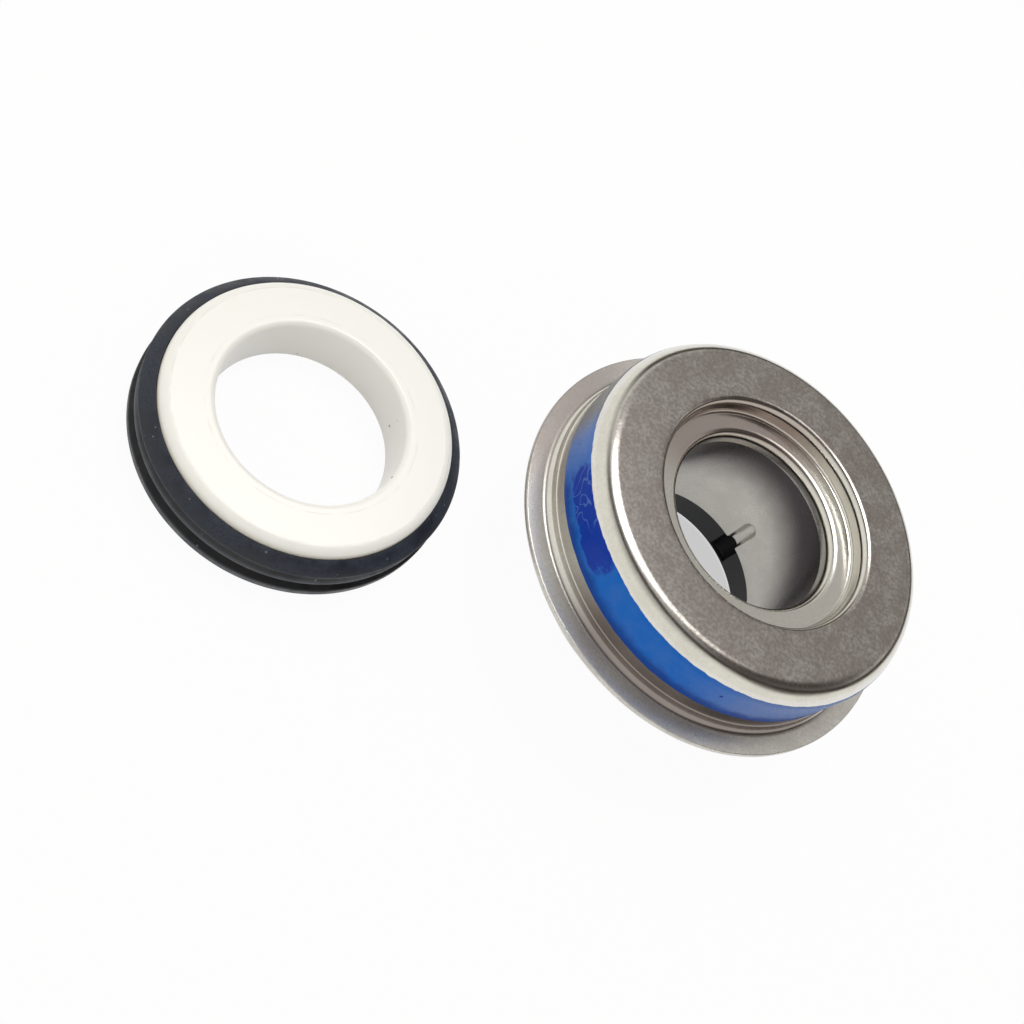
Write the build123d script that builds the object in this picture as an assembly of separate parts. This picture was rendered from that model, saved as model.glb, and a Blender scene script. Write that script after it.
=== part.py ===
from build123d import *

import os

# Water-pump mechanical seal for a 16 mm shaft, supplied as its two loose halves.
#
# The seal head is a deep-drawn steel case with a flange, pressed into the pump housing.  Inside it
# a coil spring pushes a carbon ring out of the case, and a rubber bellows keeps the water from the
# shaft.  The seat is a ceramic ring in a ribbed rubber cup, which is pressed into the impeller.
#
# Both halves lie side by side on Z = 0 with their axes upright: the seat on its rubber back, and
# the head on its carbon face with the closed end of the case up.  Millimetres, +Z up.  The origin
# is at the middle of the whole set, on the surface that it lies on.

# ---- driving dimensions ----
shaft_diameter = 16.0          # the shaft that runs through both halves
halves_gap = 3.8               # clear space between the flange and the seat as they lie

# case, one deep-drawn sheet; heights on the head are above the underside of its flange
case_diameter = 36.5           # press-fit outside diameter
case_height = 9.2              # up to the closed face
case_sheet = 0.6
case_corner_radius = 2.1       # outside radius between wall and face
flange_width = 2.45            # from the press-fit wall out to the rim
flange_root_radius = 0.8       # fillet between flange and wall
flange_rim_radius = 0.15
wall_step_height = 1.85        # step left by the drawing punch
wall_step = 0.08
neck_clearance = 0.68          # between the shaft and the neck of the case
neck_length = 1.55             # from the floor of the recess down to the neck's edge
neck_rim_radius = 0.9
ledge_width = 2.52             # floor of the recess, from the neck to the recess wall
recess_depth = 1.95            # below the closed face
recess_rim_radius = 0.8
recess_root_radius = 0.4

# blue sealant painted round the press-fit wall
sealant_bottom = 3.2
sealant_overlap = 0.65         # how far it runs up the rounded corner
sealant_thickness = 0.05

# drive sleeve, pressed against the inside of the neck
sleeve_sheet = 0.5
sleeve_fold_radius = 0.7       # outside of the fold under the neck
sleeve_flange_inset = 0.2      # its flange ends this far inside the recess wall's outside
sleeve_reach = 6.8             # down from the underside of the case flange
rib_count = 3
rib_first_angle = 43.0
rib_radius = 1.2               # outside radius of a drive rib
rib_length = 4.4

# clamp band round the bellows tail, which is also the spring's upper seat
band_sheet = 0.5
band_depth = 2.4
band_fold_radius = 1.0

# coil spring, midway between the clamp band and the case wall
spring_wire = 1.4
spring_turns = 3.5
spring_seat_margin = 0.1       # the washer under it reaches this far beyond the coil

# rubber bellows
bellows_wall = 0.8
bellows_tail_length = 3.4
bellows_fold_clearance = 0.7       # between the outward fold and the inside of the spring
bellows_fold_in = 1.1              # inward fold, in from the middle of the tail's wall
bellows_foot_inset = 0.9           # middle of the wall at the heel, in from the carbon's outside
fold_out_share = 0.2               # heights of the folds as shares of the way to the heel
fold_in_share = 0.55
foot_share = 0.78
bellows_heel = 0.8                 # thickness of the heel behind the carbon
bellows_skirt = 0.7                # thickness of the skirt round the carbon

# carbon face ring and what carries it
nose_reach = 10.8              # carbon face below the underside of the case flange, at rest
carbon_height = 6.4
land_margin = 0.95             # from the carbon's bore to the lapped running face
land_width = 1.65              # width of the running face
land_height = 0.35             # how far the running face stands proud
shoulder_width = 0.55          # step between the nose and the body of the ring
nose_height = 2.3
carbon_travel = 3.0            # how far the ring can be pushed back into the case
washer_sheet = 0.5
washer_clearance = 0.25        # round the foot of the bellows
holder_sheet = 0.5

# clearances
running_gap = 0.2              # radial room between pieces that slide past each other
seating_gap = 0.1              # between the moving carbon set and the rubber round it
nesting_gap = 0.02             # between pressed sheets that lie in each other

# seat
seat_clearance = 1.0           # between the shaft and the ceramic bore
ceramic_diameter = 27.8
ceramic_height = 5.6
ceramic_edge_radius = 0.95
ceramic_bore_chamfer = 0.25
cup_wall = 1.6                 # rubber round the ceramic, over the sealing ridges
cup_back = 0.55                # rubber under the ceramic
cup_back_opening = 22.0        # diameter of the hole in the rubber back
cup_bevel = 0.9                # fall of the sloping top land
cup_lip_inset = 0.1            # the lip stands this far inside the ridges
cup_lip_radius = 0.05
cup_groove_depth = 0.75
cup_ridge_width = 0.8
cup_ridge_pitch = 0.96         # from the lip down to the first ridge
cup_fillet = 0.2

# ---- places worked out from them ----
case_radius = case_diameter / 2
flange_radius = case_radius + flange_width
cup_radius = ceramic_diameter / 2 + cup_wall
set_length = 2 * cup_radius + halves_gap + 2 * flange_radius
head_x = set_length / 2 - flange_radius
seat_x = cup_radius - set_length / 2
flange_z = nose_reach                          # underside of the flange above the surface

neck_radius = shaft_diameter / 2 + neck_clearance
recess_radius = neck_radius + ledge_width
boss_radius = recess_radius + case_sheet       # outside of the recess wall, inside the case
ledge_height = case_height - recess_depth
face_edge_radius = case_radius - case_corner_radius    # where the closed face begins to round off
sleeve_radius = neck_radius + case_sheet + nesting_gap
sleeve_flange_radius = boss_radius - sleeve_flange_inset

band_radius = boss_radius + bellows_wall + nesting_gap
spring_radius = (band_radius + band_sheet + case_radius - case_sheet) / 2
washer_radius = spring_radius + spring_wire / 2 + spring_seat_margin
spring_top = case_height - case_sheet - nesting_gap - band_sheet

carbon_bore_radius = sleeve_radius + sleeve_sheet + running_gap
land_inner_radius = carbon_bore_radius + land_margin
nose_radius = land_inner_radius + land_width
carbon_radius = nose_radius + shoulder_width
carbon_back = carbon_height - nose_reach
shoulder_height = nose_height - nose_reach     # where the carbon steps in to its nose
notch_bottom = -sleeve_reach - carbon_travel - running_gap

heel_bottom = carbon_back + seating_gap
heel_top = heel_bottom + bellows_heel
skirt_inner_radius = carbon_radius + seating_gap
skirt_outer_radius = skirt_inner_radius + bellows_skirt
holder_radius = skirt_outer_radius + seating_gap
holder_lip = shoulder_height + seating_gap     # underside of the holder's turned-in edge
washer_bottom = heel_top + seating_gap
washer_top = washer_bottom + washer_sheet
foot_radius = carbon_radius - bellows_foot_inset

on_base = (Align.CENTER, Align.CENTER, Align.MIN)


def set_off(points, distance):
    """The corners of a broken line moved sideways, to the right of its run where positive."""
    corners = [Vector(*point) for point in points]
    runs = [(end - start).normalized() for start, end in zip(corners, corners[1:])]
    sides = [Vector(run.Y, -run.X) for run in runs]
    moved = []
    for corner, before, after in zip(corners, sides[:1] + sides, sides + sides[-1:]):
        middle = before + after
        moved.append(corner + middle * (distance / middle.dot(before)))
    return moved, runs


def sheet_ring(points, radii, thickness):
    """A turned or pressed sheet revolved about Z.  One face of its section is a broken line with
    fold radii, and the sheet lies to the right of the line's run, or left if negative."""
    moved, runs = set_off(points, thickness)
    moved_radii = []
    for radius, before, after in zip(radii, runs, runs[1:]):
        turns_right = before.cross(after).Z < 0
        change = -thickness if turns_right else thickness
        moved_radii.append(max(radius + change, 0) if radius else 0)
    outline = FilletPolyline(
        *points,
        *reversed([(place.X, place.Y) for place in moved]),
        radius=[0, *radii, 0, 0, *reversed(moved_radii), 0],
        close=True,
    )
    return revolve(Plane.XZ * make_face(outline), Axis.Z)


def solid_ring(points):
    """A ring whose section is a closed polygon of (radius, height) points."""
    return revolve(Plane.XZ * make_face(Polyline(*points, close=True)), Axis.Z)


def flat_ring(inner, outer, bottom, top):
    """A ring with a rectangular section."""
    return solid_ring([(inner, bottom), (outer, bottom), (outer, top), (inner, top)])


def circle_edges(shape, radius, height):
    """The round edges of a ring at one radius and height."""
    return [
        edge
        for edge in shape.edges().filter_by(GeomType.CIRCLE)
        if abs(edge.radius - radius) < 1e-4 and abs(edge.arc_center.Z - height) < 1e-4
    ]


def make_case():
    """Flange, press-fit wall, rounded corner, closed face, stepped recess and neck in one sheet."""
    outside = [
        (neck_radius, ledge_height - neck_length),
        (neck_radius, ledge_height),
        (recess_radius, ledge_height),
        (recess_radius, case_height),
        (case_radius, case_height),
        (case_radius, wall_step_height),
        (case_radius + wall_step, wall_step_height - wall_step),
        (case_radius + wall_step, case_sheet),
        (flange_radius, case_sheet),
    ]
    radii = [
        neck_rim_radius,
        recess_root_radius,
        recess_rim_radius,
        case_corner_radius,
        0,
        0,
        flange_root_radius,
    ]
    case = sheet_ring(outside, radii, case_sheet)
    rim = circle_edges(case, flange_radius, 0) + circle_edges(case, flange_radius, case_sheet)
    return fillet(rim, flange_rim_radius)


def rounded_disc(radius, height, corner_radius):
    """A disc standing on Z = 0 with a rounded upper edge."""
    disc = Cylinder(radius, height, align=on_base)
    return fillet(circle_edges(disc, radius, height), corner_radius)


def make_sealant():
    """A thin coat of sealant on the wall and the beginning of the rounded corner."""
    skin_radius = case_radius + sealant_thickness
    skin_height = case_height + sealant_thickness
    skin = rounded_disc(skin_radius, skin_height, case_corner_radius + sealant_thickness)
    skin -= rounded_disc(case_radius, case_height, case_corner_radius)
    coat_height = case_height - case_corner_radius + sealant_overlap - sealant_bottom
    return skin & Pos(0, 0, sealant_bottom) * Cylinder(flange_radius, coat_height, align=on_base)


def make_sleeve():
    """Flanged tube inside the bellows, with ribs pressed outwards that drive the carbon."""
    top = ledge_height - case_sheet - nesting_gap
    inside = [
        (sleeve_flange_radius, top),
        (sleeve_radius, top),
        (sleeve_radius, -sleeve_reach),
    ]
    sleeve = sheet_ring(inside, [sleeve_fold_radius], -sleeve_sheet)
    for angle in rib_angles():
        place = Rot(0, 0, angle) * Pos(sleeve_radius, 0, -sleeve_reach)
        sleeve += place * rib_capsule(rib_radius)
        sleeve -= place * rib_capsule(rib_radius - sleeve_sheet)
    bore = Pos(0, 0, -sleeve_reach) * Cylinder(sleeve_radius, rib_length + rib_radius, align=on_base)
    return sleeve - bore


def rib_angles():
    """Even spacing of the drive ribs round the axis."""
    return [rib_first_angle + 360 / rib_count * number for number in range(rib_count)]


def rib_capsule(radius):
    """A rib's form: an upright round bar with a domed top, standing on its own origin."""
    straight = rib_length - rib_radius
    return Cylinder(radius, straight, align=on_base) + Pos(0, 0, straight) * Sphere(radius)


def make_band():
    """L-shaped ring: it grips the bellows tail, and its flange seats the spring."""
    top = spring_top + band_sheet
    inside = [
        (band_radius, top - band_depth),
        (band_radius, top),
        (face_edge_radius, top),
    ]
    return sheet_ring(inside, [band_fold_radius], band_sheet)


def make_spring():
    """A round-wire compression spring with ground flat ends."""
    free_length = spring_top - washer_top
    pitch = free_length / spring_turns
    path = Helix(pitch=pitch, height=free_length, radius=spring_radius)
    wire = Plane(origin=path @ 0, z_dir=path % 0) * Circle(spring_wire / 2)
    coil = Pos(0, 0, washer_top) * sweep(wire, path=path, is_frenet=True)
    return coil & Pos(0, 0, washer_top) * Cylinder(case_radius, free_length, align=on_base)


def make_bellows():
    """Tail round the recess wall, one rolling fold, and a heel and skirt that hold the carbon."""
    middle = boss_radius + bellows_wall / 2
    fold_out = spring_radius - spring_wire / 2 - bellows_fold_clearance - bellows_wall / 2
    tail_top = case_height - recess_rim_radius
    tail_end = tail_top - bellows_tail_length
    way = tail_end - heel_top
    line = FilletPolyline(
        (middle, tail_top),
        (middle, tail_end),
        (fold_out, tail_end - fold_out_share * way),
        (middle - bellows_fold_in, tail_end - fold_in_share * way),
        (foot_radius, tail_end - foot_share * way),
        (foot_radius, heel_bottom),
        radius=bellows_wall,
    )
    left = offset(line, amount=bellows_wall / 2, side=Side.LEFT, closed=True)
    right = offset(line, amount=bellows_wall / 2, side=Side.RIGHT, closed=True)
    wall = revolve(Plane.XZ * (make_face(left) + make_face(right)), Axis.Z)
    heel_inner = sleeve_radius + rib_radius + running_gap
    heel = flat_ring(heel_inner, skirt_outer_radius, heel_bottom, heel_top)
    skirt_bottom = holder_lip + holder_sheet + seating_gap
    skirt = flat_ring(skirt_inner_radius, skirt_outer_radius, skirt_bottom, heel_top)
    return wall + heel + skirt


def make_washer():
    """Flat steel ring between the spring and the heel of the bellows."""
    inner = foot_radius + bellows_wall / 2 + washer_clearance
    return flat_ring(inner, washer_radius, washer_bottom, washer_top)


def make_holder():
    """Steel shell round the skirt, with its lower edge turned in under the rubber."""
    inside = [
        (holder_radius, washer_bottom),
        (holder_radius, holder_lip),
        (carbon_radius + running_gap, holder_lip),
    ]
    return sheet_ring(inside, [holder_sheet / 2], -holder_sheet)


def make_carbon():
    """Carbon ring with a stepped nose, a raised lapped land and blind drive notches in its bore."""
    recess_floor = land_height - nose_reach
    ring = solid_ring(
        [
            (carbon_bore_radius, carbon_back),
            (carbon_radius, carbon_back),
            (carbon_radius, shoulder_height),
            (nose_radius, shoulder_height),
            (nose_radius, -nose_reach),
            (land_inner_radius, -nose_reach),
            (land_inner_radius, recess_floor),
            (carbon_bore_radius, recess_floor),
        ]
    )
    notch = Cylinder(rib_radius + running_gap, carbon_back - notch_bottom, align=on_base)
    for angle in rib_angles():
        ring -= Rot(0, 0, angle) * Pos(sleeve_radius, 0, notch_bottom) * notch
    return ring


def make_ceramic():
    """Ceramic ring with a lapped top face, a rounded outer edge and a chamfered bore."""
    bore_radius = shaft_diameter / 2 + seat_clearance
    top = cup_back + ceramic_height
    ring = flat_ring(bore_radius, ceramic_diameter / 2, cup_back, top)
    ring = fillet(circle_edges(ring, ceramic_diameter / 2, top), ceramic_edge_radius)
    bore_edges = circle_edges(ring, bore_radius, top) + circle_edges(ring, bore_radius, cup_back)
    return chamfer(bore_edges, ceramic_bore_chamfer)


def make_cup():
    """Rubber cup: sloping top land with a lip, two sealing ridges, and a back under the ceramic."""
    inner = ceramic_diameter / 2
    land_top = cup_back + ceramic_height - ceramic_edge_radius
    lip_radius = cup_radius - cup_lip_inset
    lip_bottom = land_top - cup_bevel - cup_fillet
    groove_radius = lip_radius - cup_groove_depth
    upper_ridge = lip_bottom - cup_ridge_pitch
    lower_ridge = cup_back + cup_ridge_width
    valley = (upper_ridge + lower_ridge) / 2
    outline = FilletPolyline(
        (cup_back_opening / 2, 0),
        (cup_radius - cup_ridge_width, 0),
        (cup_radius, lower_ridge - cup_ridge_width / 2),
        (cup_radius, lower_ridge + cup_ridge_width / 2),
        (groove_radius, valley),
        (cup_radius - cup_fillet, upper_ridge),
        (groove_radius, lip_bottom - cup_ridge_width / 2),
        (lip_radius, lip_bottom),
        (lip_radius, land_top - cup_bevel),
        (inner, land_top),
        radius=6 * [cup_fillet] + [cup_lip_radius, cup_fillet],
    )
    inside = Polyline(
        (inner, land_top),
        (inner, cup_back),
        (cup_back_opening / 2, cup_back),
        (cup_back_opening / 2, 0),
    )
    return revolve(Plane.XZ * make_face(Wire(outline.edges() + inside.edges())), Axis.Z)


def main():
    """Build every piece where it lies and write one STEP file for each."""
    head = {
        "case": make_case(),
        "sealant_band": make_sealant(),
        "drive_sleeve": make_sleeve(),
        "clamp_band": make_band(),
        "spring": make_spring(),
        "bellows": make_bellows(),
        "spring_washer": make_washer(),
        "carbon_holder": make_holder(),
        "carbon_ring": make_carbon(),
    }
    seat = {
        "ceramic_seat": make_ceramic(),
        "seat_cup": make_cup(),
    }
    os.makedirs("parts", exist_ok=True)
    for name, piece in head.items():
        export_step(Pos(head_x, 0, flange_z) * piece, f"parts/{name}.step")
    for name, piece in seat.items():
        export_step(Pos(seat_x, 0, 0) * piece, f"parts/{name}.step")


main()
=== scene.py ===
import math

import bmesh
import bpy
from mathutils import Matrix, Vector, noise


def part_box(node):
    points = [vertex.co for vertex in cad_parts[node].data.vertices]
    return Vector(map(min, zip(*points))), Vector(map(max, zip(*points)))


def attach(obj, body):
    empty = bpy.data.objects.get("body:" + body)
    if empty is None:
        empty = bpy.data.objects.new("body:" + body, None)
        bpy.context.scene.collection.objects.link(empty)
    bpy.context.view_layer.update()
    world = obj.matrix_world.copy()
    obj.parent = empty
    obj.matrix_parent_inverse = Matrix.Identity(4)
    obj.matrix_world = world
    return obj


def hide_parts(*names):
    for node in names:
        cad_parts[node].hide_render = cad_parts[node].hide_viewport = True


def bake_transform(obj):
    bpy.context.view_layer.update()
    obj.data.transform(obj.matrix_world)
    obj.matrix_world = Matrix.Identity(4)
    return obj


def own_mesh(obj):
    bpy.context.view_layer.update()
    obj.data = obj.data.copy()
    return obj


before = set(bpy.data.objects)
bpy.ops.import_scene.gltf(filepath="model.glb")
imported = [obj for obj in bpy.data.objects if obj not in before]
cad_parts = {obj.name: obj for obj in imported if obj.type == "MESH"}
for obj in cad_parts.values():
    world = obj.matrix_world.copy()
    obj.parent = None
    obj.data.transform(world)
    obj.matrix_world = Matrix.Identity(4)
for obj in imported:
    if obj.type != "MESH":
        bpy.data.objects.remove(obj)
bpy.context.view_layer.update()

mm = 0.001

# Where the two halves stand, from the frame
caseLow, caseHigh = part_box("case")
seatLow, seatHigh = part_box("ceramic_seat")
headX = (caseLow[0] + caseHigh[0]) / 2 / mm
seatX = (seatLow[0] + seatHigh[0]) / 2 / mm
flangeZ = caseLow[2] / mm                    # underside of the case flange


def deselectAll():
    if bpy.context.object and bpy.context.object.mode != "OBJECT":
        bpy.ops.object.mode_set(mode="OBJECT")
    bpy.ops.object.select_all(action="DESELECT")


def makeActive(piece):
    deselectAll()
    piece.select_set(True)
    bpy.context.view_layer.objects.active = piece


def selectNear(piece, places, reach=1e-6):
    # edit mode: select only the vertices at the given places
    bpy.ops.mesh.select_all(action="DESELECT")
    sheet = bmesh.from_edit_mesh(piece.data)
    for vertex in sheet.verts:
        if any((vertex.co - place).length < reach for place in places):
            vertex.select = True
    sheet.select_flush_mode()
    bmesh.update_edit_mesh(piece.data)


def drawSection(name, corners, centreX, baseZ):
    # a closed wire section in the XZ plane, from (radius, height, rounding) corners in mm
    spots = [Vector(((centreX + c[0]) * mm, 0, (baseZ + c[1]) * mm)) for c in corners]
    deselectAll()
    bpy.ops.mesh.primitive_plane_add(size=mm, location=(0, 0, 0))
    piece = bpy.context.object
    piece.name = name
    bpy.ops.object.mode_set(mode="EDIT")
    bpy.ops.mesh.select_all(action="SELECT")
    bpy.ops.mesh.merge(type="CENTER")
    bpy.ops.transform.translate(value=spots[0])
    for here, there in zip(spots, spots[1:]):
        bpy.ops.mesh.extrude_vertices_move(TRANSFORM_OT_translate={"value": there - here})
    selectNear(piece, [spots[0], spots[-1]])
    bpy.ops.mesh.edge_face_add()
    count = len(corners)
    for index, corner in enumerate(corners):
        if corner[2] > 0:
            before = (spots[index - 1] - spots[index]).normalized()
            after = (spots[(index + 1) % count] - spots[index]).normalized()
            turn = math.pi - before.angle(after)
            reach = corner[2] * mm * math.tan(turn / 2)
            steps = max(2, round(turn * math.sqrt(corner[2]) * 5))
            selectNear(piece, [spots[index]])
            bpy.ops.mesh.bevel(offset=reach, segments=steps, affect="VERTICES", profile=0.5)
    return piece


def spinSection(piece, centreX, steps):
    bpy.ops.mesh.select_all(action="SELECT")
    bpy.ops.mesh.spin(steps=steps, angle=math.tau, center=(centreX * mm, 0, 0), axis=(0, 0, 1))
    bpy.ops.mesh.select_all(action="SELECT")
    bpy.ops.mesh.remove_doubles(threshold=1e-7)
    bpy.ops.mesh.normals_make_consistent(inside=False)
    bpy.ops.object.mode_set(mode="OBJECT")


def finishSmooth(piece, sharpDegrees=40, weighted=True):
    makeActive(piece)
    bpy.ops.object.shade_smooth_by_angle(angle=math.radians(sharpDegrees))
    if weighted:
        evener = piece.modifiers.new("evenNormals", "WEIGHTED_NORMAL")
        evener.mode = "FACE_AREA"
        evener.weight = 100
        evener.keep_sharp = True
        bpy.ops.object.modifier_apply(modifier=evener.name)


def turnRing(name, corners, centreX, baseZ, steps=240, weighted=True):
    piece = drawSection(name, corners, centreX, baseZ)
    spinSection(piece, centreX, steps)
    finishSmooth(piece, weighted=weighted)
    return piece


def sheetCorners(outline, thickness):
    # corners of a pressed sheet: the outline, then the same outline set off by the thickness
    # outline corners are (radius, height, rounding); the sheet lies to the right of their run
    places = [Vector((c[0], c[1])) for c in outline]
    inner = []
    for index, corner in enumerate(outline):
        runs = []
        if index > 0:
            runs.append((places[index] - places[index - 1]).normalized())
        if index < len(outline) - 1:
            runs.append((places[index + 1] - places[index]).normalized())
        sides = [Vector((run.y, -run.x)) for run in runs]
        if len(sides) == 1:
            shift = sides[0] * thickness
            rounding = 0
        else:
            middle = (sides[0] + sides[1]).normalized()
            shift = middle * (thickness / middle.dot(sides[0]))
            turnsRight = runs[0].x * runs[1].y - runs[0].y * runs[1].x < 0
            rounding = 0
            if corner[2] > 0:
                rounding = corner[2] - thickness if turnsRight else corner[2] + thickness
        inner.append((places[index].x + shift.x, places[index].y + shift.y, max(rounding, 0)))
    return list(outline) + inner[::-1]


def newGroup(name, inputs, outputs):
    group = bpy.data.node_groups.new(name, "ShaderNodeTree")
    for label, kind, value in inputs:
        socket = group.interface.new_socket(label, in_out="INPUT", socket_type=kind)
        socket.default_value = value
    for label, kind in outputs:
        group.interface.new_socket(label, in_out="OUTPUT", socket_type=kind)
    entry = group.nodes.new("NodeGroupInput")
    leave = group.nodes.new("NodeGroupOutput")
    return group, entry, leave


def feed(tree, value, socket):
    # a socket takes a number, a colour or another node's output
    if isinstance(value, (int, float)):
        socket.default_value = value
    elif isinstance(value, tuple):
        socket.default_value = (*value, 1)
    else:
        tree.links.new(value, socket)


def mathNode(tree, operation, *values):
    node = tree.nodes.new("ShaderNodeMath")
    node.operation = operation
    for value, socket in zip(values, node.inputs):
        feed(tree, value, socket)
    return node.outputs[0]


def product(tree, first, *others):
    for other in others:
        first = mathNode(tree, "MULTIPLY", first, other)
    return first


def rangeNode(tree, value, low, high, lowTo=0.0, highTo=1.0):
    node = tree.nodes.new("ShaderNodeMapRange")
    node.interpolation_type = "SMOOTHSTEP"
    tree.links.new(value, node.inputs["Value"])
    for label, amount in (("From Min", low), ("From Max", high),
                          ("To Min", lowTo), ("To Max", highTo)):
        node.inputs[label].default_value = amount
    return node.outputs[0]


def between(tree, value, rise, fall):
    # a mask that comes in over the first range and goes out over the second
    return product(tree, rangeNode(tree, value, *rise), rangeNode(tree, value, *fall))


def mixColour(tree, mask, first, second):
    node = tree.nodes.new("ShaderNodeMix")
    node.data_type = "RGBA"
    for index, value in ((0, mask), (6, first), (7, second)):
        feed(tree, value, node.inputs[index])
    return node.outputs[2]


def noiseNode(tree, vector, scale, detail=3.0, roughness=0.55, distortion=0.0):
    node = tree.nodes.new("ShaderNodeTexNoise")
    tree.links.new(vector, node.inputs["Vector"])
    for label, amount in (("Scale", scale), ("Detail", detail), ("Roughness", roughness),
                          ("Distortion", distortion)):
        node.inputs[label].default_value = amount
    return node.outputs["Fac"]


def makeRingPlace():
    # radius, height and angle about an upright axis, in mm and in turns
    group, entry, leave = newGroup(
        "ringPlace",
        [("Centre X", "NodeSocketFloat", 0.0)],
        [("Radius", "NodeSocketFloat"), ("Height", "NodeSocketFloat"), ("Turn", "NodeSocketFloat"),
         ("Place", "NodeSocketVector"), ("Around", "NodeSocketVector")])
    coords = group.nodes.new("ShaderNodeTexCoord")
    scale = group.nodes.new("ShaderNodeVectorMath")
    scale.operation = "SCALE"
    scale.inputs["Scale"].default_value = 1 / mm
    group.links.new(coords.outputs["Object"], scale.inputs[0])
    parts = group.nodes.new("ShaderNodeSeparateXYZ")
    group.links.new(scale.outputs[0], parts.inputs[0])
    sideways = mathNode(group, "SUBTRACT", parts.outputs["X"], entry.outputs["Centre X"])
    radius = mathNode(group, "SQRT", mathNode(
        group, "ADD", product(group, sideways, sideways),
        product(group, parts.outputs["Y"], parts.outputs["Y"])))
    angle = mathNode(group, "ARCTAN2", parts.outputs["Y"], sideways)
    turn = mathNode(group, "FRACT", mathNode(group, "DIVIDE", angle, math.tau))
    around = group.nodes.new("ShaderNodeCombineXYZ")      # a loop that closes, for streaks
    group.links.new(mathNode(group, "COSINE", angle), around.inputs["X"])
    group.links.new(mathNode(group, "SINE", angle), around.inputs["Y"])
    group.links.new(mathNode(group, "ADD", parts.outputs["Z"], radius), around.inputs["Z"])
    group.links.new(radius, leave.inputs["Radius"])
    group.links.new(parts.outputs["Z"], leave.inputs["Height"])
    group.links.new(turn, leave.inputs["Turn"])
    group.links.new(scale.outputs[0], leave.inputs["Place"])
    group.links.new(around.outputs[0], leave.inputs["Around"])
    return group


def makeBlotches():
    # uneven patina: broad clouds broken up by fine grain
    group, entry, leave = newGroup(
        "blotches",
        [("Place", "NodeSocketVector", (0, 0, 0)), ("Cloud Size", "NodeSocketFloat", 3.0),
         ("Grain Size", "NodeSocketFloat", 0.25)],
        [("Cloud", "NodeSocketFloat"), ("Grain", "NodeSocketFloat")])
    for label, detail, roughness, low, high in (("Cloud", 6, 0.62, 0.34, 0.66),
                                                ("Grain", 2, 0.5, 0.3, 0.7)):
        pattern = group.nodes.new("ShaderNodeTexNoise")
        pattern.inputs["Detail"].default_value = detail
        pattern.inputs["Roughness"].default_value = roughness
        group.links.new(entry.outputs["Place"], pattern.inputs["Vector"])
        group.links.new(mathNode(group, "DIVIDE", 1.0, entry.outputs[label + " Size"]),
                        pattern.inputs["Scale"])
        group.links.new(rangeNode(group, pattern.outputs["Fac"], low, high), leave.inputs[label])
    return group


def makeSpecks():
    # sparse small specks, as dust on rubber or dirt in a bore
    group, entry, leave = newGroup(
        "specks",
        [("Place", "NodeSocketVector", (0, 0, 0)), ("Spacing", "NodeSocketFloat", 1.0),
         ("Size", "NodeSocketFloat", 0.1), ("Share", "NodeSocketFloat", 0.5)],
        [("Mask", "NodeSocketFloat")])
    cells = group.nodes.new("ShaderNodeTexVoronoi")
    cells.feature = "F1"
    cells.inputs["Randomness"].default_value = 1.0
    group.links.new(entry.outputs["Place"], cells.inputs["Vector"])
    group.links.new(mathNode(group, "DIVIDE", 1.0, entry.outputs["Spacing"]), cells.inputs["Scale"])
    parts = group.nodes.new("ShaderNodeSeparateColor")
    group.links.new(cells.outputs["Color"], parts.inputs[0])
    near = product(group, entry.outputs["Size"], parts.outputs["Green"])
    inside = mathNode(group, "LESS_THAN", cells.outputs["Distance"], near)
    chosen = mathNode(group, "LESS_THAN", parts.outputs["Red"], entry.outputs["Share"])
    group.links.new(product(group, inside, chosen), leave.inputs["Mask"])
    return group


ringPlace = makeRingPlace()
blotches = makeBlotches()
specks = makeSpecks()


class Finish:
    # one material: a Principled shader, the ring's own coordinates and the shared groups

    def __init__(self, name, centreX, metallic, roughness, **fixed):
        self.material = bpy.data.materials.new(name)
        self.material.use_nodes = True
        self.tree = self.material.node_tree
        self.shader = self.tree.nodes["Principled BSDF"]
        self.shader.inputs["Metallic"].default_value = metallic
        self.shader.inputs["Roughness"].default_value = roughness
        for label, value in fixed.items():
            self.shader.inputs[label.replace("_", " ")].default_value = value
        where = self.group(ringPlace, {"Centre X": centreX})
        self.radius, self.height, self.turn, self.place, self.around = where.outputs

    def group(self, group, values):
        node = self.tree.nodes.new("ShaderNodeGroup")
        node.node_tree = group
        for label, value in values.items():
            feed(self.tree, value, node.inputs[label])
        return node

    def patina(self, cloud, grain):
        node = self.group(blotches, {"Place": self.place, "Cloud Size": cloud, "Grain Size": grain})
        return node.outputs["Cloud"], node.outputs["Grain"]

    def speckMask(self, spacing, size, share):
        return self.group(specks, {"Place": self.place, "Spacing": spacing, "Size": size,
                                   "Share": share}).outputs["Mask"]

    def link(self, value, label):
        self.tree.links.new(value, self.shader.inputs[label])

    def bump(self, heights):
        # heights: (height output, distance in mm) from coarse to fine
        normal = None
        for height, distance in heights:
            node = self.tree.nodes.new("ShaderNodeBump")
            node.inputs["Strength"].default_value = 1.0
            node.inputs["Distance"].default_value = distance * mm
            self.tree.links.new(height, node.inputs["Height"])
            if normal:
                self.tree.links.new(normal, node.inputs["Normal"])
            normal = node.outputs["Normal"]
        self.link(normal, "Normal")


def dress(piece, finish):
    piece.data.materials.clear()
    piece.data.materials.append(finish.material)


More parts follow.
